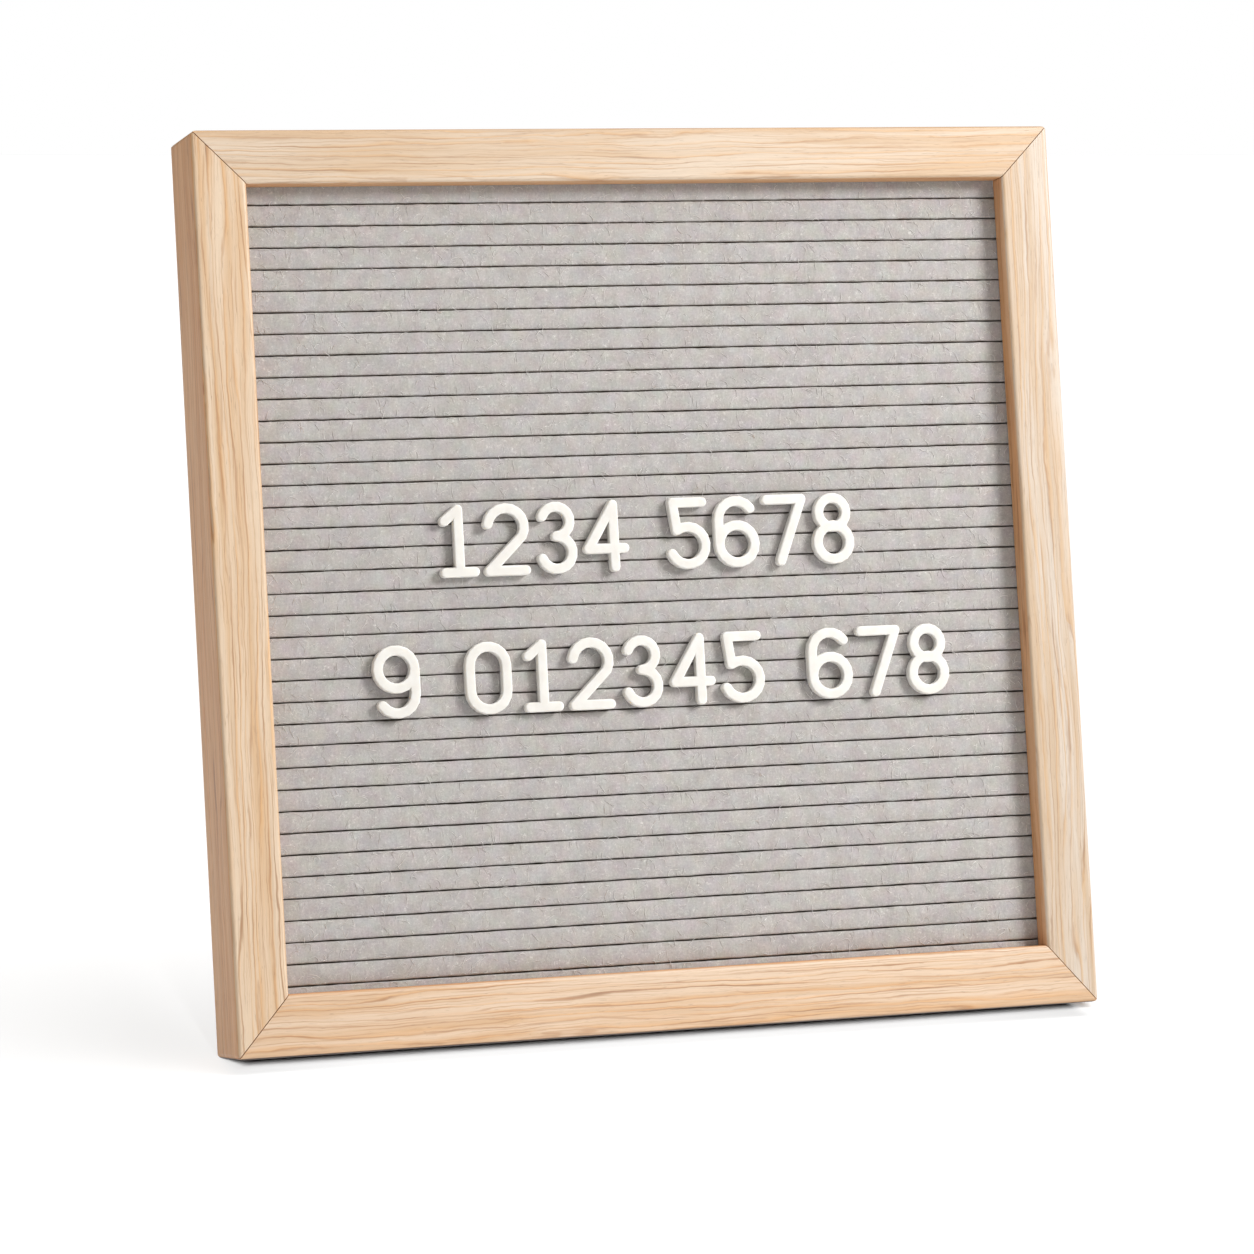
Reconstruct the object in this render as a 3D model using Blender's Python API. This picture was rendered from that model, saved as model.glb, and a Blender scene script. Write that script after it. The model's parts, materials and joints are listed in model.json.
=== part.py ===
"""Felt letter board: a mitred oak frame around a grooved felt panel, with moulded plastic numerals seated
in the grooves and a hinged strut behind, so that it stands leaning back.

The board's own frame has X to the right, Y into the depth from the front face, and Z up from the bottom edge.
"""

import math

import bmesh
import bpy
from mathutils import Matrix, Vector

MM = 0.001

# Clearances
SEAT_GAP = 0.3 * MM  # between pieces that rest on or in each other
TAB_CLEARANCE = 0.12 * MM  # between a numeral's tab and the felt on each side of it
PIN_CLEARANCE = 0.08 * MM  # running fit of the hinge pin

# Oak frame
BOARD_WIDTH = 254 * MM
BOARD_HEIGHT = 254 * MM
BOARD_DEPTH = 26 * MM
SIDE_RAIL_WIDTH = 15 * MM
TOP_RAIL_WIDTH = 15 * MM
BOTTOM_RAIL_WIDTH = 17 * MM
LIP_THICKNESS = 6.5 * MM
RABBET_WIDTH = 5 * MM
EDGE_EASE = 1.2 * MM  # radius of the eased arrises
CORNER_EASE = 1.6 * MM  # radius of the four outer corners
MITRE_GAP = 0.3 * MM
EASE_STEPS = 3

# V-nails across the mitres
V_NAIL_ARM = 6 * MM
V_NAIL_THICKNESS = 0.5 * MM
V_NAIL_DEPTH = 10 * MM
V_NAIL_INSET = 4 * MM  # from the board's outer corner to the nail's bend, along X and Z
V_NAIL_SINK = 0.5 * MM

# Felt panel
FELT_THICKNESS = 0.7 * MM
GROOVE_PITCH = 5.98 * MM
FIRST_GROOVE_DROP = 4.9 * MM  # from the top rail's inner edge to the first groove
GROOVE_MOUTH = 0.7 * MM  # free width between the two felt walls
GROOVE_DEPTH = 3.6 * MM  # from the felt's face to the felt at the groove's bottom
SHOULDER_RADIUS = 0.45 * MM  # of the felt where it turns into a groove
SHOULDER_STEPS = 2
PILLOW_RISE = 0.1 * MM  # how far each felt strip swells between its shoulders
PANEL_THICKNESS = 3 * MM
PANEL_CLEARANCE = 0.5 * MM  # between the panel's edges and the rabbet
PANEL_SETBACK = 3.4 * MM  # from the frame's rear edge in to the back panel

# Framer's points
POINT_LENGTH = 12 * MM
POINT_WIDTH = 6 * MM
POINT_THICKNESS = 0.5 * MM
POINT_GRIP = 4 * MM  # length that is driven into the rail
POINT_SPREAD = 75 * MM  # from the middle of a rail to each of its two points

# Sawtooth hanger
HANGER_LENGTH = 45 * MM
HANGER_HEIGHT = 6.5 * MM
HANGER_THICKNESS = 0.8 * MM
HANGER_RISE = 1.6 * MM  # how far its middle stands off the rail
HANGER_FOOT = 7 * MM  # flat length at each end
HANGER_TEETH = 9
HANGER_TOOTH_DEPTH = 1.5 * MM
HANGER_TOP_DROP = 2.2 * MM  # from the board's top edge
NAIL_RADIUS = 0.6 * MM
NAIL_HEAD_RADIUS = 1.4 * MM
NAIL_HEAD_HEIGHT = 0.7 * MM
NAIL_LENGTH = 8 * MM
HEAD_TAPER = 0.75  # a nail's, screw's or rivet's head: its outer face to its seat

# Hinged strut
LEAN_DEGREES = 10.1  # the board's lean from upright
STRUT_OPENING_DEGREES = 20.2  # between the open strut and the board
HINGE_HEIGHT = 150 * MM  # of the pin, along the board
STRUT_THICKNESS = 4 * MM
STRUT_TOP_WIDTH = 28 * MM
STRUT_FOOT_WIDTH = 48 * MM
STRUT_FOOT_HEIGHT = 30 * MM  # of the straight-sided foot
STRUT_CORNER = 5 * MM
PIN_RADIUS = 1.25 * MM
KNUCKLE_WALL = 1.1 * MM
LEAF_THICKNESS = 1 * MM
LEAF_WIDTH = 24 * MM
CENTRE_KNUCKLE_WIDTH = 11 * MM
BASE_LEAF_LENGTH = 26 * MM
STRUT_LEAF_LENGTH = 30 * MM
STOP_TONGUE_LENGTH = 8 * MM
SCREW_RADIUS = 1.1 * MM
SCREW_HEAD_RADIUS = 2.2 * MM
SCREW_HEAD_HEIGHT = 0.8 * MM
SCREW_SPACING = 13 * MM
SCREW_PLACE = 0.62  # how far along a leaf its screws or rivets lie, as a share of its length
SCREW_TIP_COVER = 0.4 * MM  # panel left in front of a screw's tip

# Numerals
NUMERAL_HEIGHT = 20.3 * MM
NUMERAL_WIDTH = 13.4 * MM
STROKE_WIDTH = 2.8 * MM
NUMERAL_THICKNESS = 2.5 * MM
NUMERAL_EASE = 0.35 * MM  # radius of the front edges
NUMERAL_EASE_STEPS = 2
TAB_LENGTH = 2 * MM  # along the groove
TAB_REACH = 2.6 * MM  # behind the numeral's rear face
UPPER_ROW_HEIGHT = 139.3 * MM  # of the row's middle, above the board's bottom edge
LOWER_ROW_HEIGHT = 100.9 * MM
UPPER_SPACING = 14.6 * MM  # between the middles of neighbouring numerals
LOWER_SPACING = 15 * MM
UPPER_GROUPS = ("1234", "5678")
UPPER_GROUP_STARTS = (-56.6 * MM, 11.6 * MM)  # middle of each group's first numeral
LOWER_GROUPS = ("9", "012345", "678")
LOWER_GROUP_STARTS = (-75.8 * MM, -49.3 * MM, 52.2 * MM)
WAIST_OVERLAP = 0.5 * MM  # how far the two bowls of an eight run into each other
ARC_STEP_DEGREES = 20

ROUND_SIDES = 16

# Places that follow from the sizes above, in the board's frame
FELT_FACE = LIP_THICKNESS + SEAT_GAP
CORE_FACE = FELT_FACE + FELT_THICKNESS + SEAT_GAP
PANEL_REAR = BOARD_DEPTH - PANEL_SETBACK
PANEL_FACE = PANEL_REAR - PANEL_THICKNESS
CORE_REAR = PANEL_FACE - SEAT_GAP
FIRST_GROOVE = BOARD_HEIGHT - TOP_RAIL_WIDTH - FIRST_GROOVE_DROP
LOWEST_GROOVE = BOTTOM_RAIL_WIDTH + GROOVE_MOUTH / 2 + SHOULDER_RADIUS
GROOVE_COUNT = math.floor((FIRST_GROOVE - LOWEST_GROOVE) / GROOVE_PITCH) + 1
PANEL_LEFT = -BOARD_WIDTH / 2 + SIDE_RAIL_WIDTH - RABBET_WIDTH + PANEL_CLEARANCE
PANEL_BOTTOM = BOTTOM_RAIL_WIDTH - RABBET_WIDTH + PANEL_CLEARANCE
PANEL_TOP = BOARD_HEIGHT - TOP_RAIL_WIDTH + RABBET_WIDTH - PANEL_CLEARANCE
KNUCKLE_RADIUS = PIN_RADIUS + PIN_CLEARANCE + KNUCKLE_WALL
BASE_LEAF_FACE = PANEL_REAR + SEAT_GAP
STRUT_FACE = LEAF_THICKNESS / 2 + SEAT_GAP  # the leg's front face, behind the pin's axis
PIN_DEPTH = BOARD_DEPTH + SEAT_GAP - STRUT_FACE


def clear_scene():
    for obj in list(bpy.data.objects):
        bpy.data.objects.remove(obj)


def material(name, colour, roughness, metallic=0.0):
    made = bpy.data.materials.new(name)
    made.use_nodes = True
    made.diffuse_color = (*colour, 1)
    shader = made.node_tree.nodes["Principled BSDF"]
    shader.inputs["Base Color"].default_value = (*colour, 1)
    shader.inputs["Roughness"].default_value = roughness
    shader.inputs["Metallic"].default_value = metallic
    return made


def empty(name, parent=None, location=(0, 0, 0), rotation=(0, 0, 0)):
    made = bpy.data.objects.new(name, None)
    bpy.context.scene.collection.objects.link(made)
    made.parent = parent
    made.location = location
    made.rotation_euler = rotation
    return made


def object_from(name, shape, finish=None, parent=None):
    """An object that holds the bmesh, which is freed."""
    bmesh.ops.recalc_face_normals(shape, faces=shape.faces)
    mesh = bpy.data.meshes.new(name)
    shape.to_mesh(mesh)
    shape.free()
    made = bpy.data.objects.new(name, mesh)
    bpy.context.scene.collection.objects.link(made)
    made.parent = parent
    if finish:
        mesh.materials.append(finish)
    return made


def combine(target, others, operation):
    """Joins or cuts the target with the others, which are used up."""
    for other in others:
        other.parent = target.parent
        step = target.modifiers.new(operation.lower(), "BOOLEAN")
        step.operation = operation
        step.object = other
        step.solver = "EXACT"
    bpy.context.view_layer.update()
    graph = bpy.context.evaluated_depsgraph_get()
    result = bpy.data.meshes.new_from_object(target.evaluated_get(graph))
    target.modifiers.clear()
    old = target.data
    target.data = result
    bpy.data.meshes.remove(old)
    for other in others:
        bpy.data.objects.remove(other)
    return target


def smooth(obj, angle_degrees=40):
    obj.data.shade_smooth()
    obj.data.set_sharp_from_angle(angle=math.radians(angle_degrees))


def prism(outline, start, end, axis="Y"):
    """A closed bmesh: the outline's (a, b) points carried from start to end along an axis.

    Across Y the points are (x, z), and across X they are (y, z).
    """
    shape = bmesh.new()

    def place(point, along):
        if axis == "Y":
            return Vector((point[0], along, point[1]))
        return Vector((along, point[0], point[1]))

    near = [shape.verts.new(place(point, start)) for point in outline]
    far = [shape.verts.new(place(point, end)) for point in outline]
    shape.faces.new(near)
    shape.faces.new(far)
    for i in range(len(outline)):
        j = (i + 1) % len(outline)
        shape.faces.new((near[i], near[j], far[j], far[i]))
    return shape


def box_outline(low_a, high_a, low_b, high_b):
    return [(low_a, low_b), (high_a, low_b), (high_a, high_b), (low_a, high_b)]


def arc(centre, radius, start_degrees, end_degrees, steps):
    """Points on a circle, with both ends."""
    points = []
    for i in range(steps + 1):
        angle = math.radians(start_degrees + (end_degrees - start_degrees) * i / steps)
        points.append((centre[0] + radius * math.cos(angle), centre[1] + radius * math.sin(angle)))
    return points


def turned(profile, axis_point, direction):
    """A closed bmesh turned about the direction, from (radius, distance along it) points.

    The first and the last point lie on the axis.
    """
    shape = bmesh.new()
    rows = []
    for radius, along in profile:
        if radius == 0:
            rows.append([shape.verts.new((0, 0, along))])
            continue
        ring = arc((0, 0), radius, 0, 360, ROUND_SIDES)[:-1]
        rows.append([shape.verts.new((x, y, along)) for x, y in ring])
    for low, high in zip(rows, rows[1:]):
        for i in range(ROUND_SIDES):
            j = (i + 1) % ROUND_SIDES
            corners = (low[i % len(low)], low[j % len(low)], high[j % len(high)], high[i % len(high)])
            shape.faces.new(list(dict.fromkeys(corners)))
    turn = Vector((0, 0, 1)).rotation_difference(Vector(direction)).to_matrix().to_4x4()
    bmesh.ops.transform(shape, matrix=Matrix.Translation(axis_point) @ turn, verts=shape.verts)
    return shape


def rod(radius, start, end, axis_point, direction):
    return turned([(0, start), (radius, start), (radius, end), (0, end)], axis_point, direction)


# Oak frame


def rail_section(width):
    """The L-shaped section as (inward distance, depth) points, with eased arrises."""
    ease = EDGE_EASE
    land = width - RABBET_WIDTH
    points = arc((ease, ease), ease, 180, 270, EASE_STEPS)
    points += arc((width - ease, ease), ease, 270, 360, EASE_STEPS)
    points += [(width, LIP_THICKNESS), (land, LIP_THICKNESS), (land, BOARD_DEPTH)]
    points += arc((ease, BOARD_DEPTH - ease), ease, 90, 180, EASE_STEPS)
    return points


def rail_mesh(length, width, start_neighbour, end_neighbour):
    """A rail along +X whose outer face looks to -Z, mitred to the neighbours' widths at its two ends."""
    shape = bmesh.new()
    starts = []
    ends = []
    for inward, depth in rail_section(width):
        start_cut = inward * start_neighbour / width + MITRE_GAP / 2
        end_cut = inward * end_neighbour / width + MITRE_GAP / 2
        starts.append(shape.verts.new((start_cut, depth, inward)))
        ends.append(shape.verts.new((length - end_cut, depth, inward)))
    shape.faces.new(starts)
    shape.faces.new(ends)
    for i in range(len(starts)):
        j = (i + 1) % len(starts)
        shape.faces.new((starts[i], starts[j], ends[j], ends[i]))
    return shape


def corner_places():
    """Each outer corner with its inward directions along X and Z."""
    return [
        (-BOARD_WIDTH / 2, 0, 1, 1),
        (BOARD_WIDTH / 2, 0, -1, 1),
        (BOARD_WIDTH / 2, BOARD_HEIGHT, -1, -1),
        (-BOARD_WIDTH / 2, BOARD_HEIGHT, 1, -1),
    ]


def corner_waste(corner):
    """The material outside the rounded outer corner."""
    x, z, to_x, to_z = corner
    over = CORNER_EASE
    outline = [(x - to_x * over, z - to_z * over)]
    outline += [(x + to_x * CORNER_EASE, z - to_z * over)]
    for across, up in arc((CORNER_EASE, CORNER_EASE), CORNER_EASE, 270, 180, EASE_STEPS):
        outline.append((x + to_x * across, z + to_z * up))
    outline += [(x - to_x * over, z + to_z * CORNER_EASE)]
    return object_from("corner_waste", prism(outline, -over, BOARD_DEPTH + over))


def v_nail_shape(corner, slack=0.0):
    """The nail's two arms, which lie in the two rails, grown by a slack on all sides."""
    x, z, to_x, to_z = corner
    arm = V_NAIL_ARM + slack
    half = V_NAIL_THICKNESS / 2 + slack
    plan = [(-half, -half), (arm, -half), (arm, half), (half, half), (half, arm), (-half, arm)]
    outline = [(x + to_x * (V_NAIL_INSET + a), z + to_z * (V_NAIL_INSET + b)) for a, b in plan]
    rear = BOARD_DEPTH + V_NAIL_DEPTH if slack else BOARD_DEPTH - V_NAIL_SINK
    return prism(outline, BOARD_DEPTH - V_NAIL_SINK - V_NAIL_DEPTH - slack, rear)


def point_places():
    """The middle of each framer's point's rabbet edge and its direction into the rail, as (x, z, dx, dz)."""
    places = []
    middle = BOARD_HEIGHT / 2
    for side in (-1, 1):
        edge = side * (BOARD_WIDTH / 2 - SIDE_RAIL_WIDTH + RABBET_WIDTH)
        places += [(edge, middle + shift, side, 0) for shift in (-POINT_SPREAD, POINT_SPREAD)]
    low = BOTTOM_RAIL_WIDTH - RABBET_WIDTH
    high = BOARD_HEIGHT - TOP_RAIL_WIDTH + RABBET_WIDTH
    for edge, up in ((low, -1), (high, 1)):
        places += [(shift, edge, 0, up) for shift in (-POINT_SPREAD, POINT_SPREAD)]
    return places


def point_shape(place, slack=0.0):
    """A flat point with a chisel end in the rail, grown by a slack on all sides."""
    x, z, dx, dz = place
    half = POINT_WIDTH / 2 + slack
    tail = POINT_LENGTH - POINT_GRIP + slack
    grip = POINT_GRIP + slack
    plan = [(-tail, -half), (grip - half, -half), (grip, 0), (grip - half, half), (-tail, half)]
    outline = [(x + dx * a - dz * b, z + dz * a + dx * b) for a, b in plan]
    front = PANEL_REAR + SEAT_GAP
    return prism(outline, front - slack, front + POINT_THICKNESS + slack)


def build_frame(board, oak, steel):
    quarter = math.radians(90)
    plans = {
        "rail_bottom": (BOARD_WIDTH, BOTTOM_RAIL_WIDTH, SIDE_RAIL_WIDTH, SIDE_RAIL_WIDTH, (0, 1)),
        "rail_right": (BOARD_HEIGHT, SIDE_RAIL_WIDTH, BOTTOM_RAIL_WIDTH, TOP_RAIL_WIDTH, (1, 2)),
        "rail_top": (BOARD_WIDTH, TOP_RAIL_WIDTH, SIDE_RAIL_WIDTH, SIDE_RAIL_WIDTH, (2, 3)),
        "rail_left": (BOARD_HEIGHT, SIDE_RAIL_WIDTH, TOP_RAIL_WIDTH, BOTTOM_RAIL_WIDTH, (3, 0)),
    }
    corners = corner_places()
    for turns, (name, (length, rail, start, end, at_corners)) in enumerate(plans.items()):
        shape = rail_mesh(length, rail, start, end)
        turn = Matrix.Rotation(-quarter * turns, 4, "Y")
        first_corner = corners[at_corners[0]]
        place = Matrix.Translation((first_corner[0], 0, first_corner[1]))
        bmesh.ops.transform(shape, matrix=place @ turn, verts=shape.verts)
        made = object_from(name, shape, oak, board)
        cutters = []
        for index in at_corners:
            cutters.append(corner_waste(corners[index]))
            cutters.append(object_from("v_kerf", v_nail_shape(corners[index], SEAT_GAP)))
        for point in point_places():
            toward = Vector((point[2], point[3]))
            outward = Vector((math.sin(quarter * turns), -math.cos(quarter * turns)))
            if toward.dot(outward) > 0.5:
                cutters.append(object_from("point_kerf", point_shape(point, SEAT_GAP)))
        if name == "rail_top":
            for x in hanger_nail_places():
                hole = rod(NAIL_RADIUS + SEAT_GAP, -SEAT_GAP, NAIL_LENGTH * 2, nail_tip(x), (0, 1, 0))
                cutters.append(object_from("nail_hole", hole))
        combine(made, cutters, "DIFFERENCE")
        smooth(made)
    for number, corner in enumerate(corners, 1):
        object_from(f"corner_v_nail_{number}", v_nail_shape(corner), steel, board)


# Felt panel


def groove_heights():
    return [FIRST_GROOVE - i * GROOVE_PITCH for i in range(GROOVE_COUNT)]


def felt_outline():
    """The felt's section as (depth, height) points: its face from top to bottom, then its back."""
    half = GROOVE_MOUTH / 2
    radius = SHOULDER_RADIUS
    crown = FELT_FACE
    shoulder = crown + PILLOW_RISE
    bottom = crown + GROOVE_DEPTH
    face = [(shoulder, PANEL_TOP)]
    back = [(crown + FELT_THICKNESS, PANEL_TOP)]
    heights = groove_heights()
    for i, height in enumerate(heights):
        above = arc((shoulder + radius, height + half + radius), radius, 180, 270, SHOULDER_STEPS)
        below = arc((shoulder + radius, height - half - radius), radius, 90, 180, SHOULDER_STEPS)
        face += above + [(bottom, height + half), (bottom, height - half)] + below
        if i + 1 < len(heights):
            face.append((crown, (height + heights[i + 1]) / 2))
        outer = half + FELT_THICKNESS
        rear = crown + FELT_THICKNESS
        back += [(rear, height + outer), (bottom + FELT_THICKNESS, height + outer)]
        back += [(bottom + FELT_THICKNESS, height - outer), (rear, height - outer)]
    face.append((shoulder, PANEL_BOTTOM))
    back.append((crown + FELT_THICKNESS, PANEL_BOTTOM))
    return face + back[::-1]


def core_outline():
    """The grooved core's section as (depth, height) points."""
    outer = GROOVE_MOUTH / 2 + FELT_THICKNESS + SEAT_GAP
    bottom = FELT_FACE + GROOVE_DEPTH + FELT_THICKNESS + SEAT_GAP
    points = [(CORE_FACE, PANEL_TOP)]
    for height in groove_heights():
        points += [(CORE_FACE, height + outer), (bottom, height + outer)]
        points += [(bottom, height - outer), (CORE_FACE, height - outer)]
    return points + [(CORE_FACE, PANEL_BOTTOM), (CORE_REAR, PANEL_BOTTOM), (CORE_REAR, PANEL_TOP)]


def build_panel(board, felt, fibreboard, hardboard, steel):
    sheet = object_from("felt_sheet", prism(felt_outline(), PANEL_LEFT, -PANEL_LEFT, "X"), felt, board)
    smooth(sheet, 50)
    object_from("groove_core", prism(core_outline(), PANEL_LEFT, -PANEL_LEFT, "X"), fibreboard, board)
    outline = box_outline(PANEL_LEFT, -PANEL_LEFT, PANEL_BOTTOM, PANEL_TOP)
    back = object_from("back_panel", prism(outline, PANEL_FACE, PANEL_REAR), hardboard, board)
    start = PANEL_FACE + SCREW_TIP_COVER / 2 - SEAT_GAP
    holes = []
    for place in screw_places():
        hole = rod(SCREW_RADIUS + SEAT_GAP, start, BOARD_DEPTH, place, (0, 1, 0))
        holes.append(object_from("screw_hole", hole))
    combine(back, holes, "DIFFERENCE")
    for number, place in enumerate(point_places(), 1):
        object_from(f"framers_point_{number}", point_shape(place), steel, board)


# Sawtooth hanger


def hanger_nail_places():
    reach = HANGER_LENGTH / 2 - HANGER_FOOT / 2
    return (-reach, reach)


def hanger_middle():
    return BOARD_HEIGHT - HANGER_TOP_DROP - HANGER_HEIGHT / 2


def nail_tip(x):
    seat = BOARD_DEPTH + SEAT_GAP + HANGER_THICKNESS + SEAT_GAP
    return Vector((x, seat - NAIL_LENGTH, hanger_middle()))


def hanger_mesh():
    """A strip with a toothed lower edge whose middle is pressed out from the rail."""
    shape = bmesh.new()
    half = HANGER_LENGTH / 2
    span = half - HANGER_FOOT
    stations = [(-half, 0), (-span, 0)]
    tooth = 2 * span / HANGER_TEETH
    for i in range(HANGER_TEETH):
        stations.append((-span + tooth * (i + 0.5), HANGER_TOOTH_DEPTH))
        stations.append((-span + tooth * (i + 1), 0))
    stations.append((half, 0))
    top = hanger_middle() + HANGER_HEIGHT / 2
    rows = []
    for x, notch in stations:
        rise = HANGER_RISE * max(0.0, 1 - (x / span) ** 2) ** 0.5 if abs(x) < span else 0.0
        front = BOARD_DEPTH + SEAT_GAP + rise
        low = top - HANGER_HEIGHT + notch
        section = box_outline(front, front + HANGER_THICKNESS, low, top)
        rows.append([shape.verts.new((x, y, z)) for y, z in section])
    shape.faces.new(rows[0])
    shape.faces.new(rows[-1])
    for left, right in zip(rows, rows[1:]):
        for i in range(4):
            j = (i + 1) % 4
            shape.faces.new((left[i], left[j], right[j], right[i]))
    return shape


def build_hanger(board, steel):
    hanger = object_from("sawtooth_hanger", hanger_mesh(), steel, board)
    holes = []
    for x in hanger_nail_places():
        hole = rod(NAIL_RADIUS + SEAT_GAP, 0, NAIL_LENGTH * 2, nail_tip(x), (0, 1, 0))
        holes.append(object_from("hole", hole))
    combine(hanger, holes, "DIFFERENCE")
    profile = [
        (0, 0),
        (NAIL_RADIUS, NAIL_RADIUS * 2),
        (NAIL_RADIUS, NAIL_LENGTH),
        (NAIL_HEAD_RADIUS, NAIL_LENGTH),
        (NAIL_HEAD_RADIUS * HEAD_TAPER, NAIL_LENGTH + NAIL_HEAD_HEIGHT),
        (0, NAIL_LENGTH + NAIL_HEAD_HEIGHT),
    ]
    for side, x in zip(("left", "right"), hanger_nail_places()):
        smooth(object_from(f"hanger_nail_{side}", turned(profile, nail_tip(x), (0, 1, 0)), steel, board))


# Hinged strut


def screw_places():
    """Where the base leaf's screws cross the plane of the board's front face."""
    height = HINGE_HEIGHT + BASE_LEAF_LENGTH * SCREW_PLACE
    return [Vector((side * SCREW_SPACING / 2, 0, height)) for side in (-1, 1)]


def rivet_places():
    """Where the strut's rivets lie, in the strut's frame."""
    return [Vector((side * SCREW_SPACING / 2, 0, -STRUT_LEAF_LENGTH * SCREW_PLACE)) for side in (-1, 1)]


def knuckle(low_x, high_x):
    ring = arc((0, 0), KNUCKLE_RADIUS, 0, 360, ROUND_SIDES)[:-1]
    return prism(ring, low_x, high_x, "X")


def pin_hole():
    hole = rod(PIN_RADIUS + PIN_CLEARANCE, -LEAF_WIDTH, LEAF_WIDTH, (0, 0, 0), (1, 0, 0))
    return object_from("pin_hole", hole)


def fastener_hole(place):
    """A hole right through at the place, for a screw or a rivet."""
    hole = rod(SCREW_RADIUS + SEAT_GAP, -BOARD_DEPTH, BOARD_DEPTH, place, (0, 1, 0))
    return object_from("fastener_hole", hole)


def moved(shape, offset):
    bmesh.ops.translate(shape, vec=offset, verts=shape.verts)
    return shape


def build_base_leaf(board, steel):
    """The leaf on the back panel, with its two outer knuckles around the pin."""
    half = LEAF_WIDTH / 2
    inner = CENTRE_KNUCKLE_WIDTH / 2 + SEAT_GAP
    near = BASE_LEAF_FACE - PIN_DEPTH
    far = near + LEAF_THICKNESS
    low = KNUCKLE_RADIUS + SEAT_GAP
    plate = box_outline(near, far, low, BASE_LEAF_LENGTH)
    leaf = object_from("hinge_base_leaf", prism(plate, -half, half, "X"), steel)
    joined = []
    cheek = box_outline(near, far, 0, low + LEAF_THICKNESS)
    for start, end in ((-half, -inner), (inner, half)):
        joined.append(object_from("knuckle", knuckle(start, end)))
        joined.append(object_from("cheek", prism(cheek, start, end, "X")))
    combine(leaf, joined, "UNION")
    holes = [pin_hole()]
    for place in screw_places():
        holes.append(fastener_hole(place - Vector((0, 0, HINGE_HEIGHT))))
    combine(leaf, holes, "DIFFERENCE")
    leaf.parent = board
    leaf.location = (0, PIN_DEPTH, HINGE_HEIGHT)
    smooth(leaf)


def build_strut_leaf(strut, opening, steel):
    """The leaf on the strut, whose tongue bears on the base leaf when the strut is open."""
    half = CENTRE_KNUCKLE_WIDTH / 2
    leaf = object_from("hinge_strut_leaf", knuckle(-half, half), steel)
    face = LEAF_THICKNESS / 2
    plate = box_outline(-face, face, -STRUT_LEAF_LENGTH, -KNUCKLE_RADIUS - SEAT_GAP)
    neck = box_outline(-face, face, -KNUCKLE_RADIUS - LEAF_THICKNESS, 0)
    seat = BASE_LEAF_FACE + LEAF_THICKNESS + SEAT_GAP - PIN_DEPTH
    tongue = prism(box_outline(seat, seat + LEAF_THICKNESS, 0, STOP_TONGUE_LENGTH), -half, half, "X")
    turn = Matrix.Rotation(-opening, 4, "X")
    bmesh.ops.transform(tongue, matrix=turn, verts=tongue.verts)
    joined = [
        object_from("plate", prism(plate, -LEAF_WIDTH / 2, LEAF_WIDTH / 2, "X")),
        object_from("neck", prism(neck, -half, half, "X")),
        object_from("tongue", tongue),
    ]
    combine(leaf, joined, "UNION")
    holes = [pin_hole()]
    holes += [fastener_hole(place) for place in rivet_places()]
    combine(leaf, holes, "DIFFERENCE")
    leaf.parent = strut
    smooth(leaf)


def strut_outline():
    """The leg's outline as (x, z) points in the strut's frame, running past the floor."""
    top = -KNUCKLE_RADIUS - SEAT_GAP * 2
    half_top = STRUT_TOP_WIDTH / 2
    half_foot = STRUT_FOOT_WIDTH / 2
    floor = -HINGE_HEIGHT
    corner = STRUT_CORNER
    right = [(half_foot, floor - STRUT_FOOT_HEIGHT), (half_foot, floor + STRUT_FOOT_HEIGHT)]
    right += arc((half_top - corner, top - corner), corner, 0, 90, EASE_STEPS)
    return right + [(-x, z) for x, z in reversed(right)]


def build_strut_leg(strut, floor_turn, floor_drop, wood):
    outline = strut_outline()
    leg = object_from("strut_leg", prism(outline, STRUT_FACE, STRUT_FACE + STRUT_THICKNESS), wood)
    floor = prism(box_outline(-BOARD_WIDTH, BOARD_WIDTH, -BOARD_WIDTH, 0), -BOARD_WIDTH, BOARD_WIDTH)
    moved(floor, (0, 0, -floor_drop))
    bmesh.ops.transform(floor, matrix=Matrix.Rotation(floor_turn, 4, "X"), verts=floor.verts)
    cutters = [object_from("floor", floor)]
    cutters += [fastener_hole(place) for place in rivet_places()]
    combine(leg, cutters, "DIFFERENCE")
    leg.parent = strut


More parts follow.
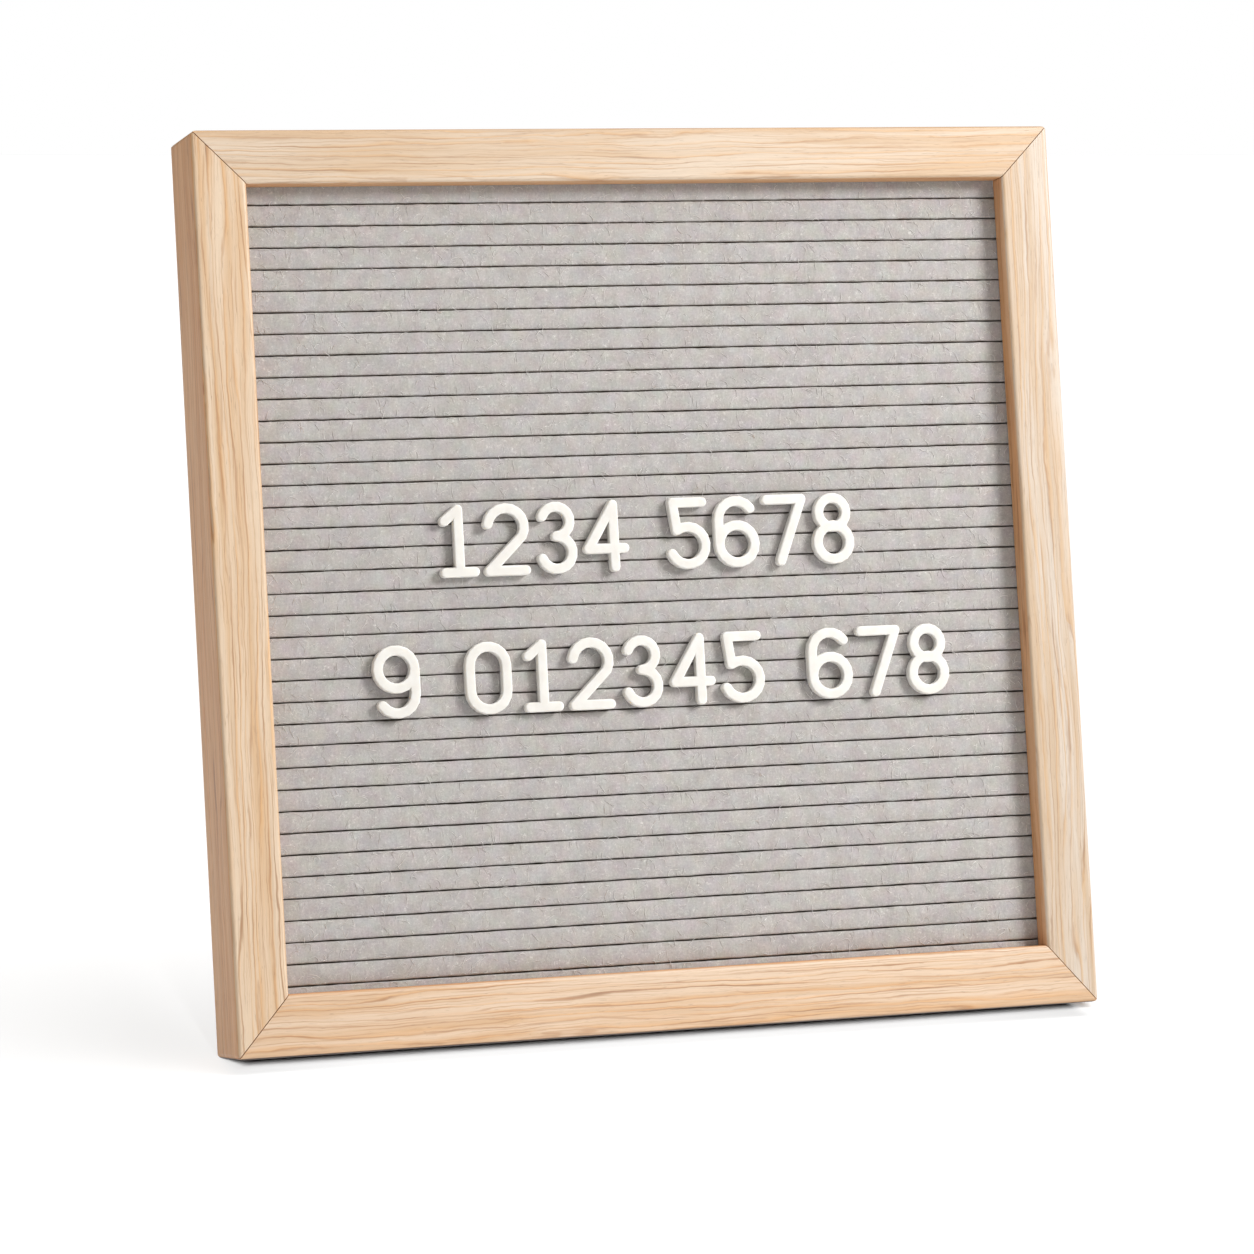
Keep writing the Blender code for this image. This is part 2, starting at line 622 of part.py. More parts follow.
def build_hinge_fasteners(board, strut, steel):
    pin = rod(PIN_RADIUS, -LEAF_WIDTH / 2 - PIN_RADIUS, LEAF_WIDTH / 2 + PIN_RADIUS, (0, 0, 0), (1, 0, 0))
    made = object_from("hinge_pin", pin, steel, board)
    made.location = (0, PIN_DEPTH, HINGE_HEIGHT)
    smooth(made)
    head_seat = BASE_LEAF_FACE + LEAF_THICKNESS + SEAT_GAP
    tip = PANEL_FACE + SCREW_TIP_COVER
    screw = [
        (0, tip),
        (SCREW_RADIUS, tip),
        (SCREW_RADIUS, head_seat),
        (SCREW_HEAD_RADIUS, head_seat),
        (SCREW_HEAD_RADIUS * HEAD_TAPER, head_seat + SCREW_HEAD_HEIGHT),
        (0, head_seat + SCREW_HEAD_HEIGHT),
    ]
    for number, place in enumerate(screw_places(), 1):
        smooth(object_from(f"base_screw_{number}", turned(screw, place, (0, 1, 0)), steel, board))
    front = -LEAF_THICKNESS / 2 - SEAT_GAP
    rear = STRUT_FACE + STRUT_THICKNESS + SEAT_GAP
    rivet = [
        (0, front - SCREW_HEAD_HEIGHT),
        (SCREW_HEAD_RADIUS * HEAD_TAPER, front - SCREW_HEAD_HEIGHT),
        (SCREW_HEAD_RADIUS, front),
        (SCREW_RADIUS, front),
        (SCREW_RADIUS, rear),
        (SCREW_HEAD_RADIUS, rear),
        (SCREW_HEAD_RADIUS * HEAD_TAPER, rear + SCREW_HEAD_HEIGHT),
        (0, rear + SCREW_HEAD_HEIGHT),
    ]
    for number, place in enumerate(rivet_places(), 1):
        smooth(object_from(f"strut_rivet_{number}", turned(rivet, place, (0, 1, 0)), steel, strut))


# Numerals


def arc_points(centre, radius, start_degrees, end_degrees):
    steps = max(1, round(abs(end_degrees - start_degrees) / ARC_STEP_DEGREES))
    return arc(centre, radius, start_degrees, end_degrees, steps)


def digit_strokes(digit):
    """The centre lines of a digit's strokes about its middle, each with whether it closes on itself.

    Bare factors are the digits' own proportions, as shares of the half width or of the height.
    """
    half = (NUMERAL_WIDTH - STROKE_WIDTH) / 2
    top = (NUMERAL_HEIGHT - STROKE_WIDTH) / 2
    low = -top
    upper = top * 0.475  # radius of an upper bowl
    lower = top - upper  # radius of a lower bowl
    if digit == 0:
        loop = arc_points((0, top - half), half, 0, 180)
        loop += arc_points((0, low + half), half, 180, 360)
        return [(loop, True)]
    if digit == 1:
        stem = half * 0.15
        flag = [(stem, top), (stem - half * 0.75, top - half * 0.6)]
        foot = [(stem - half * 0.8, low), (stem + half * 0.8, low)]
        return [([(stem, low), (stem, top)], False), (flag, False), (foot, False)]
    if digit == 2:
        sweep = arc_points((0, top - half), half, 170, -30)
        return [(sweep + [(-half, low)], False), ([(-half, low), (half, low)], False)]
    if digit == 3:
        above = arc_points((0, top - upper), upper, 160, -90)
        below = arc_points((0, low + lower), lower, 90, -160)
        return [(above, False), (below, False)]
    if digit == 4:
        bar = low + (top - low) * 0.3
        stem = half * 0.45
        return [
            ([(stem, top), (-half, bar)], False),
            ([(-half, bar), (half, bar)], False),
            ([(stem, top), (stem, low)], False),
        ]
    if digit == 5:
        bowl = arc_points((-half * 0.04, low + half), half, 125, -155)
        spine = [(half * 0.85, top), (-half * 0.8, top)]
        return [(spine, False), ([spine[1]] + [bowl[0]], False), (bowl, False)]
    if digit in (6, 9):
        loop = arc_points((0, low + half), half, 0, 360)[:-1]
        tail = [(-half, low + half)] + arc_points((0, top - half), half, 180, 35)
        strokes = [(loop, True), (tail, False)]
        if digit == 6:
            return strokes
        return [([(-x, -z) for x, z in points], closed) for points, closed in strokes]
    if digit == 7:
        return [([(-half, top), (half, top)], False), ([(half, top), (-half * 0.3, low)], False)]
    lower += WAIST_OVERLAP / 2
    above = arc_points((0, top - upper), upper, 0, 360)[:-1]
    below = arc_points((0, low + lower), lower, 9, 369)[:-1]
    return [(above, True), (below, True)]


def offset_line(points, distance, closed):
    """The points moved sideways to their left by a distance, mitred at the bends."""
    moved_points = []
    count = len(points)
    for i, point in enumerate(points):
        before = Vector(points[i - 1]) if closed or i else None
        after = Vector(points[(i + 1) % count]) if closed or i + 1 < count else None
        here = Vector(point)
        arriving = (here - before).normalized() if before else (after - here).normalized()
        leaving = (after - here).normalized() if after else arriving
        normal = Vector((-arriving.y - leaving.y, arriving.x + leaving.x)).normalized()
        reach = distance / normal.dot(Vector((-arriving.y, arriving.x)))
        moved_points.append(here + normal * reach)
    return moved_points


def stroke_outlines(points, closed, half_width):
    """The stroke's outline or, for a closed one, its two outlines."""
    left = offset_line(points, half_width, closed)
    right = offset_line(points, -half_width, closed)
    if closed:
        return [left, right]
    first, last = Vector(points[0]), Vector(points[-1])
    end_heading = math.degrees(math.atan2(last.y - points[-2][1], last.x - points[-2][0]))
    start_heading = math.degrees(math.atan2(first.y - points[1][1], first.x - points[1][0]))
    end_cap = arc(last, half_width, end_heading + 90, end_heading - 90, EASE_STEPS * 2)[1:-1]
    start_cap = arc(first, half_width, start_heading + 90, start_heading - 90, EASE_STEPS * 2)[1:-1]
    outline = left + [Vector(point) for point in end_cap] + right[::-1]
    return [outline + [Vector(point) for point in start_cap]]


def stroke_shape(points, closed, rear):
    """A moulded stroke with eased front edges."""
    front = rear - NUMERAL_THICKNESS
    levels = [(rear, STROKE_WIDTH / 2)]
    for along, across in arc((0, 0), NUMERAL_EASE, 0, 90, NUMERAL_EASE_STEPS):
        levels.append((front + NUMERAL_EASE - across, STROKE_WIDTH / 2 - NUMERAL_EASE + along))
    shape = bmesh.new()
    rings = []
    for depth, half_width in levels:
        outlines = stroke_outlines(points, closed, half_width)
        rings.append([[shape.verts.new((p.x, depth, p.y)) for p in outline] for outline in outlines])
    for low, high in zip(rings, rings[1:]):
        for inner, outer in zip(low, high):
            for i in range(len(inner)):
                j = (i + 1) % len(inner)
                shape.faces.new((inner[i], inner[j], outer[j], outer[i]))
    for ring in (rings[0], rings[-1]):
        if not closed:
            shape.faces.new(ring[0])
            continue
        left, right = ring
        for i in range(len(left)):
            j = (i + 1) % len(left)
            shape.faces.new((left[i], left[j], right[j], right[i]))
    return shape


def crossings(strokes, height):
    """Where the strokes' centre lines cross a height, as x values at least two tabs apart."""
    found = []
    for points, closed in strokes:
        ends = list(zip(points, points[1:] + points[:1])) if closed else list(zip(points, points[1:]))
        for (x0, z0), (x1, z1) in ends:
            if (z0 - height) * (z1 - height) < 0:
                x = x0 + (x1 - x0) * (height - z0) / (z1 - z0)
                if all(abs(x - other) > 2 * TAB_LENGTH for other in found):
                    found.append(x)
    return found


def tab_shapes(strokes, row_height, rear):
    """Thin tabs behind the strokes, in the highest and the lowest groove that the numeral covers."""
    reach = NUMERAL_HEIGHT / 2 - STROKE_WIDTH
    covered = [height - row_height for height in groove_heights() if abs(height - row_height) < reach]
    half_tab = GROOVE_MOUTH / 2 - TAB_CLEARANCE
    root = NUMERAL_THICKNESS / 3
    shapes = []
    for height in (covered[0], covered[-1]):
        for x in crossings(strokes, height):
            ends = (x - TAB_LENGTH / 2, x + TAB_LENGTH / 2)
            outline = box_outline(*ends, height - half_tab, height + half_tab)
            shapes.append(prism(outline, rear - root, rear + TAB_REACH))
    return shapes


def build_numeral(name, digit, x, row_height, board, plastic):
    strokes = digit_strokes(digit)
    rear = FELT_FACE - SEAT_GAP
    pieces = [object_from("stroke", stroke_shape(points, closed, rear)) for points, closed in strokes]
    pieces += [object_from("tab", tab) for tab in tab_shapes(strokes, row_height, rear)]
    first = pieces[0]
    combine(first, pieces[1:], "UNION")
    first.name = name
    first.data.materials.append(plastic)
    first.parent = board
    first.location = (x, 0, row_height)
    smooth(first)


def build_row(row, groups, starts, spacing, row_height, board, plastic):
    for group, start in zip(groups, starts):
        for place, digit in enumerate(group):
            x = start + place * spacing
            build_numeral(f"{row}_numeral_{digit}", int(digit), x, row_height, board, plastic)


def stand_on_floor(board):
    """Moves the board so that the model's footprint is centred on the origin."""
    bpy.context.view_layer.update()
    depths = []
    for obj in bpy.data.objects:
        if obj.type == "MESH":
            depths += [(obj.matrix_world @ vertex.co).y for vertex in obj.data.vertices]
    board.location.y -= (min(depths) + max(depths)) / 2


def main():
    clear_scene()
    oak = material("oak", (0.72, 0.53, 0.34), 0.5)
    felt = material("felt", (0.5, 0.47, 0.45), 0.95)
    fibreboard = material("fibreboard", (0.16, 0.11, 0.08), 0.9)
    hardboard = material("hardboard", (0.3, 0.19, 0.11), 0.7)
    steel = material("zinc_plated_steel", (0.62, 0.63, 0.65), 0.35, 1.0)
    plastic = material("white_plastic", (0.9, 0.89, 0.87), 0.35)

    lean = math.radians(LEAN_DEGREES)
    opening = math.radians(STRUT_OPENING_DEGREES)
    # The board stands on the line where its bottom face meets the eased rear edge.
    tilt = Matrix.Rotation(-lean, 4, "X")
    rest_line = tilt @ Vector((0, BOARD_DEPTH - EDGE_EASE, 0))
    board = empty("board", location=-rest_line, rotation=(-lean, 0, 0))
    strut = empty("strut_pivot", board, (0, PIN_DEPTH, HINGE_HEIGHT), (opening, 0, 0))
    pin_above_floor = (tilt @ Vector((0, PIN_DEPTH, HINGE_HEIGHT)) - rest_line).z

    build_frame(board, oak, steel)
    build_panel(board, felt, fibreboard, hardboard, steel)
    build_hanger(board, steel)
    build_base_leaf(board, steel)
    build_strut_leaf(strut, opening, steel)
    build_strut_leg(strut, lean - opening, pin_above_floor, hardboard)
    build_hinge_fasteners(board, strut, steel)
    upper = (UPPER_GROUPS, UPPER_GROUP_STARTS, UPPER_SPACING, UPPER_ROW_HEIGHT)
    lower = (LOWER_GROUPS, LOWER_GROUP_STARTS, LOWER_SPACING, LOWER_ROW_HEIGHT)
    build_row("upper", *upper, board, plastic)
    build_row("lower", *lower, board, plastic)
    stand_on_floor(board)


main()
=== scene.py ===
"""Looks, light and camera for the felt letter board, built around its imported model.

Every length is in metres, except in the materials' patterns, which are laid out in millimetres. The board's
own frame has X to the right, Y into the depth from the front face and Z up from the bottom edge, and the board
leans back in the row frame.
"""

import json
import math

import bmesh
import bpy
import numpy as np
from mathutils import Matrix, Vector

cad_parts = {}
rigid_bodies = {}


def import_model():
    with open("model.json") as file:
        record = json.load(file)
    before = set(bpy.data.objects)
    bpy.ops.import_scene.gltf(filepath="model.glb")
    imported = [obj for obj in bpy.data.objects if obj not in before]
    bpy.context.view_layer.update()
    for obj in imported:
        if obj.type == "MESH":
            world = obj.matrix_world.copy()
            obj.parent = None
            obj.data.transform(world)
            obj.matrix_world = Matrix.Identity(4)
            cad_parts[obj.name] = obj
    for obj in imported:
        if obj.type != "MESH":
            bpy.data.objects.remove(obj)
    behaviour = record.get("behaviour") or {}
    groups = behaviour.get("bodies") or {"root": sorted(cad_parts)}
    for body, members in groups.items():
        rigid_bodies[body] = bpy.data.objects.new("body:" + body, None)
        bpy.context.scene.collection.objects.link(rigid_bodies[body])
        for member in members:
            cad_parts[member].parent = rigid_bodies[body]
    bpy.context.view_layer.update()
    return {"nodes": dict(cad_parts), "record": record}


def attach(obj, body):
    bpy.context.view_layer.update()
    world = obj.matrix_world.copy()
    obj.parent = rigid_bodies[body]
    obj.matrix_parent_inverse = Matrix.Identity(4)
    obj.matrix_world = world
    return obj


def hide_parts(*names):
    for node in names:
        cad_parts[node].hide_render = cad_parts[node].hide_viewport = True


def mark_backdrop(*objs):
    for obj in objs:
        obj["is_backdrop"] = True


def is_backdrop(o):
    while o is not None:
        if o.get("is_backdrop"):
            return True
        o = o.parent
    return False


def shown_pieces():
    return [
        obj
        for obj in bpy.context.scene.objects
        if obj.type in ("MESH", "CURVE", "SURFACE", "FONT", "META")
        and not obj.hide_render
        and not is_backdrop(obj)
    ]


for leftover in list(bpy.data.objects):
    bpy.data.objects.remove(leftover)

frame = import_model()

MM = 0.001
SEED = 7

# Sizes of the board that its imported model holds
BOARD_DEPTH = 26 * MM
PANEL_HALF_WIDTH = 116.5 * MM
PANEL_BOTTOM = 12.5 * MM
PANEL_TOP = 243.5 * MM
FELT_FACE = 6.8 * MM
FELT_THICKNESS = 0.7 * MM
GROOVE_PITCH = 5.98 * MM
GROOVE_COUNT = 37
FIRST_GROOVE = 234.1 * MM
GROOVE_MOUTH = 0.36 * MM  # the felt's lips close in on the mouth and on the numerals' tabs
GROOVE_DEPTH = 3.6 * MM
SHOULDER_RADIUS = 0.5 * MM
PILLOW_RISE = 0.1 * MM  # how far the face swells between two grooves

# Felt detail
FELT_COLUMNS = 200
SHOULDER_STEPS = 3
STRIP_STEPS = 4
WALL_STEPS = 1
LIP_WAVE = 0.11 * MM  # how far the grooves' lips wander up and down
LIP_BENDS = (3, 0.8)  # columns from bend to bend of a lip, and the share of its finer bends
FACE_WAVE = 0.05 * MM  # how far the felt's face wanders in and out
FACE_BENDS = (7, 0.9)
RIM_WIDTH = 4 * MM  # the face settles to an even depth over this width at the panel's sides
FELT_SHARP_DEGREES = 70

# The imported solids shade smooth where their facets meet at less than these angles, in degrees
OAK_SHARP = 40
PLASTIC_SHARP = 55
BOARD_SHARP = 30
STEEL_SHARP = 35

# Camera
CAMERA_PLACE = (-0.41828, -1.24700, 0.27375)
CAMERA_AZIMUTH = 18.445
CAMERA_DOWN = 6.967
CAMERA_LENS = 133.54
CAMERA_SENSOR = 36
CAMERA_CLIP = (0.05, 100)

mounts = {m["name"]: m for m in frame["record"]["mounts"]}
into = Vector(mounts["frame_back"]["axis"])
lean = math.asin(-into.z)
origin = Vector(mounts["bottom_edge"]["pos_m"]) - into * BOARD_DEPTH / 2
board_to_row = Matrix.Translation(origin) @ Matrix.Rotation(-lean, 4, "X")
upward = board_to_row.to_3x3() @ Vector((0, 0, 1))


# Materials


class Nodes:
    """A material's node tree, with short calls that return output sockets."""

    def __init__(self, name):
        self.material = bpy.data.materials.new(name)
        self.material.use_nodes = True
        self.tree = self.material.node_tree
        self.shader = self.tree.nodes["Principled BSDF"]

    def add(self, kind, inputs=(), output=0, **settings):
        """inputs holds (name or index, value or socket) pairs."""
        made = self.tree.nodes.new(kind)
        for key, value in settings.items():
            setattr(made, key, value)
        for key, value in inputs:
            if isinstance(value, bpy.types.NodeSocket):
                self.tree.links.new(value, made.inputs[key])
            else:
                made.inputs[key].default_value = value
        return made.outputs[output]

    def board_place(self):
        """The surface point in the board's own frame, in millimetres."""
        turn = Matrix.Rotation(lean, 3, "X")
        shift = turn @ (-origin) / MM
        point = self.add("ShaderNodeTexCoord", output="Object")
        inputs = (
            ("Vector", point),
            ("Location", shift),
            ("Rotation", (lean, 0, 0)),
            ("Scale", (1 / MM,) * 3),
        )
        return self.add("ShaderNodeMapping", inputs)

    def stretched(self, vector, scale, shift=(0, 0, 0)):
        return self.add("ShaderNodeMapping", (("Vector", vector), ("Scale", scale), ("Location", shift)))

    def noise(self, vector, scale=1.0, detail=2.0, roughness=0.5, output="Fac"):
        inputs = (("Vector", vector), ("Scale", scale), ("Detail", detail), ("Roughness", roughness))
        return self.add("ShaderNodeTexNoise", inputs, output)

    def math(self, operation, *values, clamp=False):
        return self.add("ShaderNodeMath", list(enumerate(values)), operation=operation, use_clamp=clamp)

    def span(self, value, low, high, to_low=0.0, to_high=1.0, smooth=True):
        """The value carried from one range to another, and held at its ends."""
        kind = "SMOOTHSTEP" if smooth else "LINEAR"
        inputs = (
            ("Value", value),
            ("From Min", low),
            ("From Max", high),
            ("To Min", to_low),
            ("To Max", to_high),
        )
        return self.add("ShaderNodeMapRange", inputs, interpolation_type=kind)

    def ridge(self, value, width):
        """1 along the thin lines where the value passes its middle, 0 elsewhere."""
        away = self.math("ABSOLUTE", self.math("SUBTRACT", value, 0.5))
        return self.span(away, 0.0, width, 1.0, 0.0)

    def blend(self, share, first, second, kind="MIX"):
        inputs = [(0, share), (6, self.colour(first)), (7, self.colour(second))]
        return self.add("ShaderNodeMix", inputs, 2, data_type="RGBA", blend_type=kind)

    def shaded(self, colour, shade):
        """The colour made darker or lighter by a grey shade."""
        grey = self.add("ShaderNodeCombineColor", [(i, shade) for i in range(3)])
        return self.blend(1.0, colour, grey, "MULTIPLY")

    def moved(self, place, scale, reach):
        """The place pushed about by a noise of the given scale, up to half the reach along each axis."""
        push = self.noise(self.stretched(place, scale), detail=1, output="Color")
        push = self.add("ShaderNodeVectorMath", ((0, push), (1, (0.5, 0.5, 0.5))), operation="SUBTRACT")
        push = self.add("ShaderNodeVectorMath", ((0, push), (1, reach)), operation="MULTIPLY")
        return self.add("ShaderNodeVectorMath", ((0, place), (1, push)), operation="ADD")

    def facing(self, direction):
        """The cosine between the surface's normal and a direction."""
        normal = self.add("ShaderNodeNewGeometry", output="Normal")
        inputs = ((0, normal), (1, tuple(direction)))
        return self.add("ShaderNodeVectorMath", inputs, "Value", operation="DOT_PRODUCT")

    def colour(self, value):
        return (*value, 1.0) if isinstance(value, tuple) else value

    def bump(self, height, distance, strength):
        inputs = (("Height", height), ("Distance", distance), ("Strength", strength))
        return self.add("ShaderNodeBump", inputs)

    def finish(self, colour, roughness, normal=None, **sockets):
        for name, value in (("Base Color", colour), ("Roughness", roughness), ("Normal", normal)):
            if isinstance(value, bpy.types.NodeSocket):
                self.tree.links.new(value, self.shader.inputs[name])
            elif value is not None:
                self.shader.inputs[name].default_value = value
        for name, value in sockets.items():
            self.shader.inputs[name.replace("_", " ")].default_value = value
        return self.material


def srgb(red, green, blue):
    """A colour given as 0 to 255 sRGB values, in linear light."""

    def linear(value):
        value /= 255
        return value / 12.92 if value <= 0.04045 else ((value + 0.055) / 1.055) ** 2.4

    return (linear(red), linear(green), linear(blue))


OAK_PALE = srgb(210, 188, 164)
OAK_TAN = srgb(199, 167, 133)
OAK_GOLD = srgb(210, 160, 103)
OAK_GREY = srgb(182, 160, 138)
OAK_LINE = srgb(160, 112, 70)
OAK_DARK = srgb(118, 88, 66)
OAK_SIDE_PAINTED_SHADE = (1.05, 0.77, 0.52)  # painted shade: what the side faces keep of the front's colour, darker and browner
# Painted shade on each side rail's side faces; the right rail's is lighter, as painted light bounced onto its
# inner wall
OAK_LEFT_SIDE_PAINTED_SHADE = (0.97, 0.70, 0.45)
OAK_RIGHT_SIDE_PAINTED_SHADE = (1.2, 0.85, 0.57)
OAK_REAR_PAINTED_SHADE = (1.0, 0.87, 0.72)  # painted shade: what the rear faces keep, darker and browner
OAK_UNDER_PAINTED_SHADOW = (0.06, 0.04, 0.03)  # painted shadow: what the face turned down at the floor keeps, nearly black
OAK_EVEN = (1.0, 1.0, 1.0)

# The cosines of a face's direction between which the painted shade of the side and rear faces and the painted
# shadow of the underside set in, against the depth axis and the upward one
SIDE_SHADE_TURN = (0.75, 0.2)
REAR_SHADE_TURN = (0.75, 0.9)
UNDER_SHADOW_TURN = (-0.6, -0.85)

# Each bend of the grain: its scale along and across the rail, and how far it pushes the grain sideways
GRAIN_BENDS = (
    ((0.012, 0.04, 0.04), 4.0),
    ((0.06, 0.2, 0.2), 1.1),
    ((0.25, 0.5, 0.5), 0.35),
)
COARSE_LINES = {"spacing": 2.1, "width": 0.38, "shift": (0, 0, 0)}
FINE_LINES = {"spacing": 0.95, "width": 0.24, "shift": (9, 3.3, 14)}

# How strongly each part of the grain is laid over the ground colour
GREY_STRENGTH = 0.35
GOLD_STRENGTH = 0.6
FAINT_LINE_STRENGTH = 0.05
BOLD_LINE_STRENGTH = 0.6
DARK_LINE_STRENGTH = 0.35
FINE_LINE_STRENGTH = 0.42
PORE_STRENGTH = 0.35
GRAIN_RELIEF = 0.06 * MM


def grain_lines(n, grain, spacing, width, shift):
    """Thin lines along the grain, about the spacing apart, and the wash that fades out beside each."""
    axes = n.add("ShaderNodeSeparateXYZ", (("Vector", n.stretched(grain, (1, 1, 1), shift)),)).node
    row = n.math("ADD", axes.outputs["Y"], n.math("MULTIPLY", axes.outputs["Z"], 0.7))
    row = n.math("DIVIDE", row, spacing)
    uneven = n.noise(n.stretched(grain, (0.010, 0.3 / spacing, 0.3 / spacing), shift), detail=2)
    part = n.math("FRACT", n.math("ADD", row, n.math("MULTIPLY", uneven, 4.0)))
    away = n.math("ABSOLUTE", n.math("SUBTRACT", part, 0.5))
    half = width / spacing / 2
    line = n.span(away, half * 0.3, half * 1.6, 1.0, 0.0)
    beyond = n.math("GREATER_THAN", part, 0.5)
    wash = n.math("MULTIPLY", beyond, n.span(part, 0.5, 0.95, 1.0, 0.0, smooth=False))
    return line, wash


def oak_material(name, upright, shift, tint, side=OAK_SIDE_PAINTED_SHADE, painted_under_shadow=OAK_EVEN, drawing=1.0):
    """Straight-grained pale oak whose grain runs along the rail.

    tint is what all faces keep of its colour, side is the painted shade that the side faces keep, the
    underside's tint is a painted shadow, and drawing says how strongly its lines show.
    """
    n = Nodes(name)
    place = n.board_place()
    axes = n.add("ShaderNodeSeparateXYZ", (("Vector", place),)).node
    order = ("Z", "X", "Y") if upright else ("X", "Z", "Y")
    inputs = [(index, axes.outputs[axis]) for index, axis in enumerate(order)]
    along = n.stretched(n.add("ShaderNodeCombineXYZ", inputs), (1, 1, 1), shift)

    grain = along
    for scale, reach in GRAIN_BENDS:
        grain = n.moved(grain, scale, (0, reach, reach))

    bands = n.noise(n.stretched(grain, (0.008, 0.30, 0.3)), detail=2, roughness=0.5)
    colour = n.blend(n.span(bands, 0.34, 0.68), OAK_PALE, OAK_TAN)
    grey = n.noise(n.stretched(grain, (0.014, 0.8, 0.5), (3, 57, 9)), detail=2, roughness=0.6)
    colour = n.blend(n.span(grey, 0.56, 0.74, 0.0, GREY_STRENGTH), colour, OAK_GREY)

    lines, wash = grain_lines(n, grain, **COARSE_LINES)
    gold = n.noise(n.stretched(grain, (0.016, 0.35, 0.3), (31, 5, 0)), detail=2)
    gold = n.span(gold, 0.36, 0.62, 0.0, GOLD_STRENGTH)
    colour = n.blend(n.math("MULTIPLY", wash, gold), colour, OAK_GOLD)
    strength = n.noise(n.stretched(grain, (0.030, 0.4, 0.3), (77, 1, 6)), detail=2)
    faint, bold = FAINT_LINE_STRENGTH * drawing, BOLD_LINE_STRENGTH * drawing
    drawn = n.math("MULTIPLY", lines, n.span(strength, 0.34, 0.64, faint, bold))
    colour = n.blend(drawn, colour, OAK_LINE)
    dark = n.math("MULTIPLY", lines, n.span(strength, 0.54, 0.72, 0.0, DARK_LINE_STRENGTH * drawing))
    colour = n.blend(dark, colour, OAK_DARK)
    fine = grain_lines(n, grain, **FINE_LINES)[0]
    strength = n.noise(n.stretched(grain, (0.05, 0.5, 0.3), (9, 31, 6)), detail=2)
    fine = n.math("MULTIPLY", fine, n.span(strength, 0.38, 0.62, 0.0, FINE_LINE_STRENGTH * drawing))
    colour = n.blend(fine, colour, OAK_LINE)

    fibres = n.noise(n.stretched(grain, (0.06, 4.5, 4.5)), detail=3, roughness=0.7)
    colour = n.shaded(colour, n.span(fibres, 0.2, 0.8, 0.93, 1.06))
    pores = n.noise(n.stretched(grain, (0.22, 5.0, 5.0), (0, 7, 0)), detail=1)
    pores = n.span(pores, 0.66, 0.76)
    colour = n.blend(n.math("MULTIPLY", pores, PORE_STRENGTH), colour, OAK_DARK)

    colour = n.blend(1.0, colour, tint, "MULTIPLY")
    # Painted shade on the side and rear faces and a painted shadow on the underside, by the way each face turns
    # in the board's frame
    side_shade_mask = n.span(n.math("ABSOLUTE", n.facing(into)), *SIDE_SHADE_TURN)
    colour = n.blend(side_shade_mask, colour, side, "MULTIPLY")
    colour = n.blend(n.span(n.facing(into), *REAR_SHADE_TURN), colour, OAK_REAR_PAINTED_SHADE, "MULTIPLY")
    colour = n.blend(n.span(n.facing(upward), *UNDER_SHADOW_TURN), colour, painted_under_shadow, "MULTIPLY")

    height = n.math("SUBTRACT", n.math("MULTIPLY", fibres, 0.35), n.math("MULTIPLY", pores, 0.9))
    height = n.math("SUBTRACT", height, n.math("MULTIPLY", drawn, 0.3))
    normal = n.bump(height, GRAIN_RELIEF, 0.5)
    rough = n.span(fibres, 0.2, 0.8, 0.42, 0.58)
    return n.finish(colour, rough, normal, Coat_Weight=0.08, Coat_Roughness=0.3)


FELT_PALE = srgb(171, 167, 164)
FELT_DEEP = srgb(161, 156, 153)
FELT_CURL = srgb(214, 211, 206)
FELT_GROOVE_PAINTED_SHADE = (0.88, 0.77, 0.64)  # painted shade: what the felt keeps of its colour down in the grooves, darker and browner
FELT_GROOVE_SHADE_FADE = 0.8  # the depth over which that painted shade sets in
FELT_CLOUDS = {"scale": 0.16, "detail": 3, "roughness": 0.6}
FELT_NAP = {"scale": 1.6, "detail": 3, "roughness": 0.7}
FELT_FUZZ = {"scale": 5.0, "detail": 3, "roughness": 0.75}
FELT_TINT_SHARE = 0.08
FELT_CURL_WIDTH = 0.030
FELT_CURL_STRENGTH = 0.6
FELT_RELIEF = 0.12 * MM


